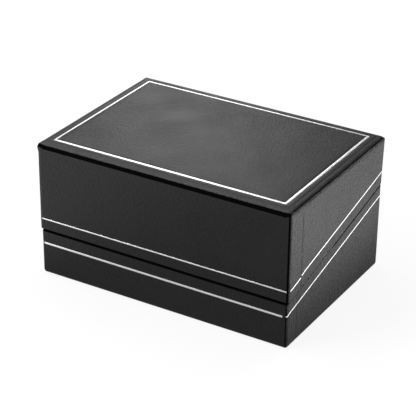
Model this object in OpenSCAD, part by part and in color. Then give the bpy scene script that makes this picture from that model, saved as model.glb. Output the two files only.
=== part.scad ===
// Cufflink display box: five boards a half, wrapped in grained sheets, with a seam that slopes from
// the rear down to the front, pressed foil lines, a riveted steel hinge and a slotted display pad.
// Millimetres, +Z up. The long front face looks along -Y. The origin is the middle of the underside.

/* [Outside] */
// Width of the lid, left to right
box_w = 90; // [76:1:120]
// Depth of the lid along its top edges, front to back
box_d = 62; // [54:1:84]
// Height of the lid's top edges
box_h = 45.2; // [42:0.2:64]
// Rise of the padded top above the lid's top edges
crown_h = 1.5; // [0.6:0.1:2]
// Height of the seam at the front face
seam_front_h = 15.7; // [13:0.1:19]
// Height of the seam at the rear face
seam_rear_h = 29.7; // [24:0.1:32]
// Open gap between the two rims
seam_gap = 0.3; // [0.2:0.05:0.6]
// Step from the lid's side face in to the base's side face
side_step = 0.4; // [0.1:0.05:1]
// Step from the lid's front and top rear edge in to the base's front and rear face
end_step = 0.15; // [0.05:0.05:0.5]
// Lean of the lid's rear face: how far its foot stands ahead of its top edge
lid_lean = 0.9; // [0.6:0.1:1.4]
// Radius of the lid's top edges
top_edge_r = 0.8; // [0.5:0.1:1.4]
// Radius of the upright edges
upright_r = 0.8; // [0.5:0.1:1.4]
// Radius of the base's bottom edges
bottom_edge_r = 1; // [0.6:0.1:2]

/* [Boards and sheets] */
// Thickness of the boards
board_t = 2.4; // [1.8:0.1:3]
// Thickness of the grained cover sheets
cover_t = 0.4; // [0.3:0.05:0.6]
// Thickness of the lining panels
lining_t = 0.8; // [0.5:0.1:1.4]
// Thickness of the sheet that the box stands on
foot_t = 0.4; // [0.2:0.1:1]
// Margin round the sheet that the box stands on
foot_margin = 3; // [2:0.5:8]
// How far the cover sheets turn down over each rim, inside the box
rim_turn = 5; // [3:0.5:7]
// Height of the lip that the base's front and side lining panels make above the rim
lip_h = 1.2; // [0.8:0.1:2]
// Clearance from the lip up to the lid's lining panels
lip_clearance = 0.8; // [0.5:0.1:2]
// Width of the lid's front sheet that is folded round on to each side
lid_front_fold = 7.4; // [5:0.2:12]
// Width of the lid's rear sheet that is folded round on to each side
lid_rear_fold = 8; // [5:0.5:12]
// Width of the base's front sheet that is folded round on to each side
base_front_fold = 6; // [5:0.2:12]
// Width of the base's rear sheet that is folded round on to each side
base_rear_fold = 12; // [6:0.5:16]

/* [Foil] */
// Thickness of the foil
foil_t = 0.06; // [0.04:0.01:0.1]
// Depth of the pressed line above the foil
foil_sink = 0.04; // [0.02:0.01:0.1]
// Inset of the border's middle on the top
border_inset = 4; // [3.7:0.1:8]
// Level margin from the border out to the top's sloping edges
border_margin = 1; // [0.5:0.1:1.2]
// Width of the border on the top
border_w = 1.1; // [0.5:0.1:1.6]
// Width of the lid's line
lid_line_w = 0.5; // [0.3:0.05:1]
// Width of the base's line
base_line_w = 0.7; // [0.3:0.05:1]
// Height of the lid's front line above the seam
lid_front_line = 4.1; // [2:0.1:6]
// Height of the lid's side lines above the seam
lid_side_line = 4.5; // [2:0.1:6]
// Depth of the base's front line below the seam
base_front_line = 4.7; // [2:0.1:6]
// Depth of the base's side lines below the seam
base_side_line = 4.1; // [2:0.1:6]
// Bare length between the base's front line and each upright edge
base_line_stop = 1.7; // [1.2:0.1:4]

/* [Hinge] */
// Length of the hinge
hinge_len = 40; // [24:1:60]
// Number of knuckles, which must be odd
knuckle_count = 5; // [3:2:9]
// Gap between neighbouring knuckles
knuckle_gap = 0.2; // [0.1:0.05:0.4]
// Diameter of the hinge pin
pin_d = 0.8; // [0.6:0.05:1]
// Clearance round the pin
pin_clearance = 0.04; // [0.02:0.01:0.08]
// Thickness of the hinge's steel strip
leaf_t = 0.35; // [0.25:0.05:0.5]
// Height of each leaf from the pin's centre
leaf_h = 9; // [6:0.5:11]
// Distance of the pin's centre behind the lid's rear foot
pin_setback = 0.1; // [0.05:0.05:0.3]
// Clearance round the knuckles
knuckle_relief = 0.25; // [0.15:0.05:0.5]
// Diameter of the rivets
rivet_d = 1.6; // [1:0.1:2.4]
// Number of rivets in each leaf
rivet_count = 4; // [2:1:6]
// Clearance round the rivets
rivet_clearance = 0.03; // [0.02:0.01:0.06]

/* [Inside] */
// Gap round the display pad and the lid's pad
pad_clearance = 0.3; // [0.2:0.05:0.8]
// Thickness of the slotted display pad
pad_t = 8; // [5:0.5:9]
// Depth of the display pad's top below the rim
pad_drop = 2.5; // [1.5:0.1:4]
// Width of each slot for a cufflink's toggle
slot_w = 5; // [4.6:0.2:8]
// Length of each slot, front to back
slot_len = 24; // [16:1:34]
// Distance between the two slots
slot_spacing = 36; // [24:1:50]
// Thickness of the satin pad in the lid
satin_t = 4; // [2:0.5:6]

/* [Hidden] */
$fn = 48;

past = 1; // how far a cutter runs past what it cuts
arc_steps = 5;

// Faces
lid_x = box_w / 2;
front_y = -box_d / 2;
rear_y = box_d / 2;
base_x = lid_x - side_step;
base_front_y = front_y + end_step;
base_rear_y = rear_y - end_step;

// Layers of a wall, measured in from the outside face
in_board = cover_t;
in_turn = in_board + board_t;
in_lining = in_turn + cover_t;
in_space = in_lining + lining_t;
pad_in = in_space + pad_clearance;

// Levels
floor_low = foot_t + cover_t;
floor_top = floor_low + board_t;
lid_skin_z = box_h - cover_t;
ceiling_z = lid_skin_z - board_t;
satin_z = ceiling_z - satin_t;
lid_lining_up = lip_h + lip_clearance; // from the lid's rim up to its lining panels

// The seam's sloping plane, and the rims a half gap from it
seam_slope = (seam_rear_h - seam_front_h) / box_d;
function seam_z(y) = seam_front_h + (y - front_y) * seam_slope;
function base_rim_z(y, down) = seam_z(y) - seam_gap / 2 - down;
function lid_rim_z(y, up) = seam_z(y) + seam_gap / 2 + up;

// The lid's leaning rear face
lean_rate = lid_lean / (box_h - seam_rear_h);
function lid_rear_y(z) = rear_y - lean_rate * (box_h - z);
// Where the rear face, moved in by inset, meets the rim, moved up by up
function lid_foot_y(inset, up) =
    (lid_rear_y(lid_rim_z(0, up)) - inset) / (1 - lean_rate * seam_slope);

// Where the side lips end, ahead of the lid's rear wall
lip_rear_y = lid_foot_y(in_space, lid_lining_up);

// Hinge
bore_r = pin_d / 2 + pin_clearance;
knuckle_r = bore_r + leaf_t;
relief_r = knuckle_r + knuckle_relief;
pin_y = lid_foot_y(0, 0) + pin_setback;
pin_z = seam_z(pin_y);
knuckle_pitch = hinge_len / knuckle_count;
leaf_pocket_x = hinge_len / 2 + knuckle_gap;
rivet_pitch = hinge_len / rivet_count;
rivet_drop = (relief_r + leaf_h) / 2;

// Top border and crown
plateau_inset = border_inset - border_w / 2 - border_margin;

// Outlines in the Y-Z plane
function base_strip(y1, y2, low, down) = [
    [y1, low], [y2, low], [y2, base_rim_z(y2, down)], [y1, base_rim_z(y1, down)]
];
function base_section(inset, low, down) =
    base_strip(base_front_y + inset, base_rear_y - inset, low, down);
function base_sloped(y1, y2, down_low, down_high) = [
    [y1, base_rim_z(y1, down_low)], [y2, base_rim_z(y2, down_low)],
    [y2, base_rim_z(y2, down_high)], [y1, base_rim_z(y1, down_high)]
];
function lid_strip(y1, y2, top, up) = [
    [y1, lid_rim_z(y1, up)], [y2, lid_rim_z(y2, up)], [y2, top], [y1, top]
];
function lid_section(inset, top, up) = [
    [front_y + inset, lid_rim_z(front_y + inset, up)],
    [lid_foot_y(inset, up), lid_rim_z(lid_foot_y(inset, up), up)],
    [lid_rear_y(top) - inset, top],
    [front_y + inset, top]
];
function lid_rear_section(in_out, in_in, top, up) = [
    [lid_foot_y(in_in, up), lid_rim_z(lid_foot_y(in_in, up), up)],
    [lid_foot_y(in_out, up), lid_rim_z(lid_foot_y(in_out, up), up)],
    [lid_rear_y(top) - in_out, top],
    [lid_rear_y(top) - in_in, top]
];
function lid_slab(inset, low, top) = [
    [front_y + inset, low], [lid_rear_y(low) - inset, low],
    [lid_rear_y(top) - inset, top], [front_y + inset, top]
];
function lid_sloped(inset, up_low, up_high) = [
    [front_y + inset, lid_rim_z(front_y + inset, up_low)],
    [lid_foot_y(inset, up_low), lid_rim_z(lid_foot_y(inset, up_low), up_low)],
    [lid_foot_y(inset, up_high), lid_rim_z(lid_foot_y(inset, up_high), up_high)],
    [front_y + inset, lid_rim_z(front_y + inset, up_high)]
];
function arc(y, z, r, from, to) = [
    for (i = [0 : arc_steps])
        let (a = from + (to - from) * i / arc_steps) [y + r * cos(a), z + r * sin(a)]
];

// A Y-Z outline run from x1 to x2
module run_x(outline, x1, x2) {
    translate([x1, 0, 0])
        rotate([90, 0, 90])
            linear_extrude(height = x2 - x1)
                polygon(outline);
}

// An X-Z outline run from y1 to y2
module run_y(outline, y1, y2) {
    translate([0, y2, 0])
        rotate([90, 0, 0])
            linear_extrude(height = y2 - y1)
                polygon(outline);
}

module box_between(low, high) {
    translate(low)
        cube(high - low);
}

module to_left() {
    mirror([1, 0, 0])
        children();
}

// Upright column with rounded corners
module rounded_plan(half_x, y1, y2, z1, z2) {
    points = concat(
        arc(half_x - upright_r, y1 + upright_r, upright_r, -90, 0),
        arc(half_x - upright_r, y2 - upright_r, upright_r, 0, 90),
        arc(-half_x + upright_r, y2 - upright_r, upright_r, 90, 180),
        arc(-half_x + upright_r, y1 + upright_r, upright_r, 180, 270)
    );
    translate([0, 0, z1])
        linear_extrude(height = z2 - z1)
            polygon(points);
}

// Outline with rounded shoulders, open for the crown between them
function shoulders(h1, h2) = concat(
    [[h1, 0], [h2, 0]],
    arc(h2 - top_edge_r, box_h - top_edge_r, top_edge_r, 0, 90),
    [[h2 - top_edge_r, box_h + crown_h + past], [h1 + top_edge_r, box_h + crown_h + past]],
    arc(h1 + top_edge_r, box_h - top_edge_r, top_edge_r, 90, 180)
);

// Outline with rounded bottom corners
function bilge(h1, h2) = concat(
    arc(h1 + bottom_edge_r, foot_t + bottom_edge_r, bottom_edge_r, 180, 270),
    arc(h2 - bottom_edge_r, foot_t + bottom_edge_r, bottom_edge_r, 270, 360),
    [[h2, box_h], [h1, box_h]]
);

// Low frustum on the plane z, from the shoulders in to the plateau
function crown_outline(h1, h2, z) = [
    [h1 + top_edge_r, z], [h2 - top_edge_r, z],
    [h2 - plateau_inset, z + crown_h], [h1 + plateau_inset, z + crown_h]
];
module crown(z) {
    intersection() {
        run_x(crown_outline(front_y, rear_y, z), -lid_x, lid_x);
        run_y(crown_outline(-lid_x, lid_x, z), front_y, rear_y);
    }
}

module base_block(inset, low, down) {
    run_x(base_section(inset, low, down), -base_x + inset, base_x - inset);
}

module lid_block(inset, top, up) {
    run_x(lid_section(inset, top, up), -lid_x + inset, lid_x - inset);
}

module base_envelope() {
    intersection() {
        base_block(0, foot_t, 0);
        rounded_plan(base_x, base_front_y, base_rear_y, 0, box_h);
        run_x(bilge(base_front_y, base_rear_y), -base_x, base_x);
        run_y(bilge(-base_x, base_x), base_front_y, base_rear_y);
    }
}

module lid_envelope() {
    intersection() {
        union() {
            lid_block(0, box_h, 0);
            crown(box_h);
        }
        rounded_plan(lid_x, front_y, rear_y, 0, box_h + crown_h + past);
        run_x(shoulders(front_y, rear_y), -lid_x, lid_x);
        run_y(shoulders(-lid_x, lid_x), front_y, rear_y);
    }
}

// Everything of the base that is cover sheet: outside, underside, rim and turned-in edge
module base_skin() {
    difference() {
        union() {
            difference() {
                base_envelope();
                base_block(in_board, floor_low, cover_t);
            }
            run_x(base_sloped(base_front_y + in_turn, base_rear_y - in_turn, rim_turn, 0),
                -base_x + in_turn, base_x - in_turn);
        }
        base_block(in_lining, floor_low, -past);
        base_foil(groove = true);
    }
}

module lid_skin() {
    difference() {
        union() {
            difference() {
                lid_envelope();
                lid_block(in_board, lid_skin_z, cover_t);
            }
            run_x(lid_sloped(in_turn, 0, rim_turn), -lid_x + in_turn, lid_x - in_turn);
        }
        lid_block(in_lining, lid_skin_z, -past);
        crown(lid_skin_z);
        lid_border(groove = true);
        lid_foil(groove = true);
    }
}

// The part of the right side that its own sheet covers
module base_side_zone() {
    box_between([base_x - in_lining, base_front_y + base_front_fold, 0],
        [base_x + past, base_rear_y - base_rear_fold, box_h]);
}
module lid_side_zone() {
    box_between([lid_x - in_lining, front_y + lid_front_fold, 0],
        [lid_x + past, rear_y - lid_rear_fold, box_h - top_edge_r]);
}

// Foil set under a face: a groove cuts to the foil's underside, the foil fills the lower part
function foil_far(groove) = groove ? -past : foil_sink;
foil_deep = foil_sink + foil_t;

module front_foil(face_y, half_x, z, w, groove) {
    box_between([-half_x, face_y + foil_far(groove), z - w / 2], [half_x, face_y + foil_deep, z + w / 2]);
}

// One side line, parallel to the seam between y1 and y2
module side_foil(face_x, y1, y2, above_seam, w, groove) {
    run_x([
        [y1, seam_z(y1) + above_seam - w / 2], [y2, seam_z(y2) + above_seam - w / 2],
        [y2, seam_z(y2) + above_seam + w / 2], [y1, seam_z(y1) + above_seam + w / 2]
    ], face_x - foil_deep, face_x - foil_far(groove));
}

module lid_foil(groove = false) {
    side_rear_y = lid_rear_y(seam_z(rear_y) + lid_side_line) - upright_r;
    rear_line_z = seam_z(rear_y) + lid_side_line;
    low = rear_line_z - lid_line_w / 2;
    high = rear_line_z + lid_line_w / 2;
    front_foil(front_y, lid_x - upright_r, seam_front_h + lid_front_line, lid_line_w, groove);
    for (side = [0, 1])
        mirror([side, 0, 0]) {
            side_foil(lid_x, front_y + upright_r, front_y + lid_front_fold, lid_front_line, lid_line_w,
                groove);
            side_foil(lid_x, front_y + lid_front_fold, side_rear_y, lid_side_line, lid_line_w, groove);
        }
    run_x([
        [lid_rear_y(low) - foil_deep, low], [lid_rear_y(low) - foil_far(groove), low],
        [lid_rear_y(high) - foil_far(groove), high], [lid_rear_y(high) - foil_deep, high]
    ], -lid_x + upright_r, lid_x - upright_r);
}

module base_foil(groove = false) {
    rear_line_z = seam_z(base_rear_y) - base_side_line;
    front_foil(base_front_y, base_x - base_line_stop, seam_front_h - base_front_line, base_line_w, groove);
    for (side = [0, 1])
        mirror([side, 0, 0])
            side_foil(base_x, base_front_y + upright_r, base_rear_y - upright_r, -base_side_line,
                base_line_w, groove);
    box_between([-base_x + upright_r, base_rear_y - foil_deep, rear_line_z - base_line_w / 2],
        [base_x - upright_r, base_rear_y - foil_far(groove), rear_line_z + base_line_w / 2]);
}

module lid_border(groove = false) {
    low = box_h + crown_h - foil_deep;
    high = box_h + crown_h - foil_far(groove);
    out = border_inset - border_w / 2;
    in = border_inset + border_w / 2;
    difference() {
        box_between([-lid_x + out, front_y + out, low], [lid_x - out, rear_y - out, high]);
        box_between([-lid_x + in, front_y + in, low - past], [lid_x - in, rear_y - in, high + past]);
    }
}

// A rod along X at the hinge pin
module pin_rod(r, x1, x2) {
    translate([x1, pin_y, pin_z])
        rotate([0, 90, 0])
            cylinder(r = r, h = x2 - x1);
}

function knuckle_x(i) = -hinge_len / 2 + i * knuckle_pitch + knuckle_gap / 2;

module knuckle_relief_cut() {
    pin_rod(relief_r, -leaf_pocket_x, leaf_pocket_x);
}

// Knuckles first, first + 2 and so on, each with a tab that runs to its leaf
module knuckles(first, tab_outline) {
    for (i = [first : 2 : knuckle_count - 1]) {
        pin_rod(knuckle_r, knuckle_x(i), knuckle_x(i) + knuckle_pitch - knuckle_gap);
        run_x(tab_outline, knuckle_x(i), knuckle_x(i) + knuckle_pitch - knuckle_gap);
    }
}

// Y-Z outlines of the leaves, set flush in the rear boards
function base_leaf_outline(top, low, play = 0) = [
    [base_rear_y - in_board - leaf_t, low - play], [base_rear_y - in_board + play, low - play],
    [base_rear_y - in_board + play, top], [base_rear_y - in_board - leaf_t, top]
];
function lid_leaf_outline(low, top, play = 0) = [
    [lid_rear_y(low) - in_board - leaf_t, low], [lid_rear_y(low) - in_board + play, low],
    [lid_rear_y(top) - in_board + play, top + play], [lid_rear_y(top) - in_board - leaf_t, top + play]
];

module rivet_rods(z, r) {
    for (i = [0 : rivet_count - 1])
        translate([-hinge_len / 2 + (i + 0.5) * rivet_pitch, 0, z])
            rotate([-90, 0, 0])
                cylinder(r = r, h = rear_y + past);
}

module base_board_side() {
    run_x(base_section(in_turn, floor_top, cover_t), base_x - in_turn, base_x - in_board);
}
module lid_board_side() {
    run_x(lid_section(in_turn, ceiling_z, cover_t), lid_x - in_turn, lid_x - in_board);
}
module base_lining_side() {
    run_x(base_section(in_space, floor_top, 0), base_x - in_space, base_x - in_lining);
    run_x(base_sloped(base_front_y + in_space, lip_rear_y, 0, -lip_h), base_x - in_space, base_x - in_lining);
}
module lid_lining_side() {
    run_x(lid_section(in_space, ceiling_z, lid_lining_up), lid_x - in_space, lid_x - in_lining);
}
module base_cover_side() {
    intersection() {
        base_skin();
        base_side_zone();
    }
}
module lid_cover_side() {
    intersection() {
        lid_skin();
        lid_side_zone();
    }
}

// Base

module base_floor_board() {
    color("darkgray")
        box_between([-base_x + in_board, base_front_y + in_board, floor_low],
            [base_x - in_board, base_rear_y - in_board, floor_top]);
}

module base_front_board() {
    color("darkgray")
        run_x(base_strip(base_front_y + in_board, base_front_y + in_turn, floor_top, cover_t),
            -base_x + in_board, base_x - in_board);
}

module base_rear_board() {
    color("darkgray")
        difference() {
            run_x(base_strip(base_rear_y - in_turn, base_rear_y - in_board, floor_top, cover_t),
                -base_x + in_board, base_x - in_board);
            run_x(base_leaf_outline(pin_z + past, pin_z - leaf_h, past / 10), -leaf_pocket_x, leaf_pocket_x);
            knuckle_relief_cut();
            rivet_rods(pin_z - rivet_drop, rivet_d / 2 + rivet_clearance);
        }
}

module base_left_board() {
    color("darkgray")
        to_left()
            base_board_side();
}

module base_right_board() {
    color("darkgray")
        base_board_side();
}

module base_main_cover() {
    color([0.13, 0.13, 0.14])
        difference() {
            base_skin();
            base_side_zone();
            to_left()
                base_side_zone();
            knuckle_relief_cut();
        }
}

module base_left_cover() {
    color([0.15, 0.15, 0.16])
        to_left()
            base_cover_side();
}

module base_right_cover() {
    color([0.15, 0.15, 0.16])
        base_cover_side();
}

module base_foot_sheet() {
    color([0.1, 0.1, 0.1])
        box_between([-base_x + foot_margin, base_front_y + foot_margin, 0],
            [base_x - foot_margin, base_rear_y - foot_margin, foot_t]);
}

module base_foil_line() {
    color("silver")
        base_foil();
}

module base_front_lining() {
    color([0.06, 0.06, 0.07])
        run_x(base_strip(base_front_y + in_lining, base_front_y + in_space, floor_top, -lip_h),
            -base_x + in_lining, base_x - in_lining);
}

module base_rear_lining() {
    color([0.06, 0.06, 0.07])
        run_x(base_strip(base_rear_y - in_space, base_rear_y - in_lining, floor_top, 0),
            -base_x + in_lining, base_x - in_lining);
}

module base_left_lining() {
    color([0.06, 0.06, 0.07])
        to_left()
            base_lining_side();
}

module base_right_lining() {
    color([0.06, 0.06, 0.07])
        base_lining_side();
}

module pad_riser() {
    color([0.2, 0.2, 0.2])
        run_x(base_section(pad_in, floor_top, pad_drop + pad_t), -base_x + pad_in, base_x - pad_in);
}

module cufflink_pad() {
    color([0.05, 0.05, 0.06])
        difference() {
            run_x(base_sloped(base_front_y + pad_in, base_rear_y - pad_in, pad_drop + pad_t, pad_drop),
                -base_x + pad_in, base_x - pad_in);
            for (x = [-slot_spacing / 2, slot_spacing / 2])
                box_between([x - slot_w / 2, -slot_len / 2, 0], [x + slot_w / 2, slot_len / 2, box_h]);
        }
}

module hinge_base_leaf() {
    color("lightsteelblue")
        difference() {
            union() {
                knuckles(0, base_leaf_outline(pin_z, pin_z - leaf_h));
                run_x(base_leaf_outline(pin_z - relief_r, pin_z - leaf_h), -hinge_len / 2, hinge_len / 2);
            }
            pin_rod(bore_r, -leaf_pocket_x, leaf_pocket_x);
            rivet_rods(pin_z - rivet_drop, rivet_d / 2 + rivet_clearance);
        }
}

module hinge_base_rivets() {
    color("gray")
        intersection() {
            rivet_rods(pin_z - rivet_drop, rivet_d / 2);
            run_x(base_strip(base_rear_y - in_turn, base_rear_y - in_board, floor_top, cover_t),
                -base_x + in_board, base_x - in_board);
        }
}

module hinge_pin() {
    color("silver")
        pin_rod(pin_d / 2, -hinge_len / 2, hinge_len / 2);
}

// Lid

module lid_top_board() {
    color("darkgray")
        run_x(lid_slab(in_board, ceiling_z, lid_skin_z), -lid_x + in_board, lid_x - in_board);
}

module lid_front_board() {
    color("darkgray")
        run_x(lid_strip(front_y + in_board, front_y + in_turn, ceiling_z, cover_t),
            -lid_x + in_board, lid_x - in_board);
}

module lid_rear_board() {
    color("darkgray")
        difference() {
            run_x(lid_rear_section(in_board, in_turn, ceiling_z, cover_t), -lid_x + in_board, lid_x - in_board);
            run_x(lid_leaf_outline(pin_z - past, pin_z + leaf_h, past / 10), -leaf_pocket_x, leaf_pocket_x);
            knuckle_relief_cut();
            rivet_rods(pin_z + rivet_drop, rivet_d / 2 + rivet_clearance);
        }
}

module lid_left_board() {
    color("darkgray")
        to_left()
            lid_board_side();
}

module lid_right_board() {
    color("darkgray")
        lid_board_side();
}

module lid_top_padding() {
    color("whitesmoke")
        crown(lid_skin_z);
}

module lid_main_cover() {
    color([0.13, 0.13, 0.14])
        difference() {
            lid_skin();
            lid_side_zone();
            to_left()
                lid_side_zone();
            knuckle_relief_cut();
        }
}

module lid_left_cover() {
    color([0.15, 0.15, 0.16])
        to_left()
            lid_cover_side();
}

module lid_right_cover() {
    color([0.15, 0.15, 0.16])
        lid_cover_side();
}

module lid_foil_border() {
    color("silver")
        lid_border();
}

module lid_foil_line() {
    color("silver")
        lid_foil();
}

module lid_front_lining() {
    color([0.06, 0.06, 0.07])
        run_x(lid_strip(front_y + in_lining, front_y + in_space, ceiling_z, lid_lining_up),
            -lid_x + in_lining, lid_x - in_lining);
}

module lid_rear_lining() {
    color([0.06, 0.06, 0.07])
        run_x(lid_rear_section(in_lining, in_space, ceiling_z, lid_lining_up),
            -lid_x + in_lining, lid_x - in_lining);
}

module lid_left_lining() {
    color([0.06, 0.06, 0.07])
        to_left()
            lid_lining_side();
}

module lid_right_lining() {
    color([0.06, 0.06, 0.07])
        lid_lining_side();
}

module lid_satin_pad() {
    color([0.85, 0.85, 0.83])
        run_x(lid_slab(pad_in, satin_z, ceiling_z), -lid_x + pad_in, lid_x - pad_in);
}

module hinge_lid_leaf() {
    color("lightsteelblue")
        difference() {
            union() {
                knuckles(1, lid_leaf_outline(pin_z, pin_z + leaf_h));
                run_x(lid_leaf_outline(pin_z + relief_r, pin_z + leaf_h), -hinge_len / 2, hinge_len / 2);
            }
            pin_rod(bore_r, -leaf_pocket_x, leaf_pocket_x);
            rivet_rods(pin_z + rivet_drop, rivet_d / 2 + rivet_clearance);
        }
}

module hinge_lid_rivets() {
    color("gray")
        intersection() {
            rivet_rods(pin_z + rivet_drop, rivet_d / 2);
            run_x(lid_rear_section(in_board, in_turn, ceiling_z, cover_t), -lid_x + in_board, lid_x - in_board);
        }
}

base_floor_board();
base_front_board();
base_rear_board();
base_left_board();
base_right_board();
base_main_cover();
base_left_cover();
base_right_cover();
base_foot_sheet();
base_foil_line();
base_front_lining();
base_rear_lining();
base_left_lining();
base_right_lining();
pad_riser();
cufflink_pad();
hinge_base_leaf();
hinge_base_rivets();
hinge_pin();
lid_top_board();
lid_front_board();
lid_rear_board();
lid_left_board();
lid_right_board();
lid_top_padding();
lid_main_cover();
lid_left_cover();
lid_right_cover();
lid_foil_border();
lid_foil_line();
lid_front_lining();
lid_rear_lining();
lid_left_lining();
lid_right_lining();
lid_satin_pad();
hinge_lid_leaf();
hinge_lid_rivets();
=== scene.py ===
"""A closed cufflink display box: boards wrapped in a black grained sheet, with pressed silver foil lines.

Shapes are worked out in millimetres and made in metres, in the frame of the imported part.
"""

import math

import bmesh
import bpy
from mathutils import Matrix, Vector, noise


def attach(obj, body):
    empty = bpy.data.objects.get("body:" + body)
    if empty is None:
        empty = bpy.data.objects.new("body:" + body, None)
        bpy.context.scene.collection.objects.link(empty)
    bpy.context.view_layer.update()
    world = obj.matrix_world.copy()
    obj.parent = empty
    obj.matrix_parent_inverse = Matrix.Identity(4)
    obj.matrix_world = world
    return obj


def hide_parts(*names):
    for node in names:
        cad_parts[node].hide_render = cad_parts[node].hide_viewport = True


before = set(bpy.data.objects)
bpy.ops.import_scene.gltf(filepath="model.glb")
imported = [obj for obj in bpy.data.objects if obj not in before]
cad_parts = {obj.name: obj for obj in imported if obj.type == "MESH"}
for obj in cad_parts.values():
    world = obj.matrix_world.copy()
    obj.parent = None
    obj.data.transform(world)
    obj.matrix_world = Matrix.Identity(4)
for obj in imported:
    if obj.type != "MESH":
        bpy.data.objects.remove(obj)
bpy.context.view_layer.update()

MM = 0.001
TINY = 1e-6             # a distance below this counts as none

# -------------------- sizes, in millimetres

LID_X, LID_FRONT, LID_REAR = 45.0, -31.0, 31.0
LID_TOP, LEAN_TOP = 46.7, 45.2          # the crown, and the top of the leaning rear wall
LID_LEAN = 0.9                          # how far the rear wall's foot is ahead of its top
LEAN_REACH = 6                          # how far in from the rear the lid's sheets follow that lean
BASE_X, BASE_FRONT, BASE_REAR = 44.6, -30.85, 30.85
BASE_BOTTOM, FOOT_RECESS = 0.1, 0.3     # the turned-in sheet stands round the foot sheet
RECESS_FROM, RECESS_STEP = 2.1, 0.6     # where that recess starts, in from the edge, and how soon it is deep
SEAM_FRONT, SEAM_REAR, SEAM_GAP = 15.7, 29.7, 0.3
SEAM_SLOPE = (SEAM_REAR - SEAM_FRONT) / (LID_REAR - LID_FRONT)

TOP_R, BOTTOM_R, UPRIGHT_R = 2.4, 0.9, 0.8      # outside edges of the wraps
LID_CORNER, BASE_CORNER = (6, 0.2), (2.5, 0.0)  # how sharply the sheet is folded and how full it is
RIM_R = 0.5             # where the wraps turn over the rims
RIM_IN = 3.2            # wall with a cover sheet on both faces
RIM_TURN = 5.0          # how far the wraps turn in over the rims and along the walls inside
SHEET_T = 0.3
STEP = 1.3              # widest gap between the grid lines of a wrap

SKIN_Z, SKIN_IN, SKIN_T = 44.8, 0.8, 0.4        # the padding's underside, its edge and the sheet over it
FLOOR_TOP, CEILING = 3.2, 42.4                  # of the space inside the boards
IN_LINING, IN_SPACE, PAD_IN = 3.2, 4.0, 4.3     # in from the outside to the linings, past them, to the pads
LIP_H, LIP_REAR = 1.2, 26.16                    # the lip above the base's rim, and where its side parts end
LID_LINING_UP = 2.0                             # the lid's linings end this far above its rim
PAD_T, PAD_DROP, SATIN_T = 8.0, 2.5, 4.0        # the pad's top is PAD_DROP below the base's rim
PAD_PUFF = 0.5                          # and its velvet may rise this much higher
SATIN_EDGE, SATIN_CROWN = 1.6, 7        # the satin pad's thickness at its edge, and how far in it is full
SLOT_X, SLOT_W, SLOT_LEN = 18.0, 5.0, 24.0
FOOT_MARGIN, FOOT_T, FOOT_GAP = 3.0, 0.4, 0.02          # FOOT_GAP is left between it and the cover
PIN_Y, PIN_Z = 30.197, 29.519
RELIEF_R, RELIEF_X = 1.04, 20.2     # the pocket round the hinge's knuckles

BORDER_FRONT, BORDER_REAR, BORDER_SIDE = 3.75, 4.0, 4.2     # middle of the border, in from the edges
FRONT_W, RIGHT_W, REAR_W, LEFT_W = 0.9, 0.75, 0.6, 0.6
LID_LINE_W, BASE_LINE_W, SIDE_LINE_W = 0.44, 0.68, 0.42
LID_FRONT_LINE, LID_SIDE_LINE = 4.1, 4.8        # middle of the lines, from the seam
BASE_FRONT_LINE, BASE_SIDE_LINE = 4.7, 4.1
LINE_END, BASE_LINE_END = 0.9, 0.8      # how far from an upright edge a line stops
TAB_LINE_IN, TAB_LINE_END = 0.7, 0.2    # on the lid's front tab, from the front and from the fold
BASE_LINE_LEFT, BASE_LINE_RIGHT = 0.15, 1.7     # on the base's front, in from its left and right edges
BASE_LINE_BEND = (0.5, 0.35, 0.2)       # the base's side line starts on the front, this far in
LINE_DROP, LINE_DROP_REACH = 0.4, 1.2   # the base's side line is this much lower at its front end
FOIL_T, LINE_RAISED, BORDER_RAISED = 0.03, 0.012, 0.015
# Across a foil strip: the share of its width from its middle, and how far it dips there
FOIL_SECTION = ((-0.5, 0.03), (-0.42, 0.0), (0.0, 0.0), (0.42, 0.0), (0.5, 0.03))

LID_FRONT_FOLD, LID_REAR_FOLD = 7.4, 8.0        # the main sheets' tabs on the side walls
BASE_FRONT_FOLD, BASE_REAR_FOLD = 6.0, 12.0
LID_FOLDS = LID_FRONT + LID_FRONT_FOLD, LID_REAR - LID_REAR_FOLD            # where the tabs end, and
BASE_FOLDS = BASE_FRONT + BASE_FRONT_FOLD, BASE_REAR - BASE_REAR_FOLD       # the side sheets between them
LID_JOINT = 2.7         # from the lid's top down to its side sheets

# Painted shade: lines of the dark painted-shade sheet where shade falls along edges and in the seam, from
# where to where they lie in from the nearest side, or how wide they are from an edge
LID_FRONT_SHADE = (0.25, 0.95)    # beside the right front edge of the lid
LID_TOP_SHADE = (0.38, 0.6)       # along the right edge of the top
BASE_FRONT_SHADE = (0.3, 0.7)     # beside the right front edge of the base
TOP_FRONT_SHADE = 0.4             # along the front edge of the top
LID_RIM_SHADE, BASE_RIM_SHADE = 0.3, 0.45       # along the seam at the front
SIDE_RIM_SHADE_BEHIND, SIDE_RIM_SHADE_AHEAD = 0.45, 0.05       # along the seam at the sides, further back and ahead
SIDE_SHADE_FROM = -2.0                            # where those two meet

# Soft forms of the sheets: height, middle and half width
BORDER_GROOVE = (-0.08, 0.0, 1.2)       # in from the middle of the foil border
LID_FRONT_GROOVE = (-0.12, 0.6, 0.4)    # in from the side
BASE_FRONT_GROOVE = (-0.10, 0.5, 0.3)
LID_FOLD_DIP = (-0.03, 0.0, 1.2)        # from the end of the front tab towards the rear
LID_TAB_CROWN = (0.04, -3.8, 3.2)
LID_SIDE_RIDGE = (0.12, 0.8, 1.1)
LID_REAR_RIDGE = (0.04, 0.4, 0.8)       # from the end of the rear tab towards the front
BASE_FOLD_RIDGE = (0.02, 0.3, 0.9)
CORNER_TIP = (0.4, 0.0, 1.2)            # round the lid's left front corner


def seam_z(y):
    return SEAM_FRONT + (y - LID_FRONT) * SEAM_SLOPE


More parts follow.
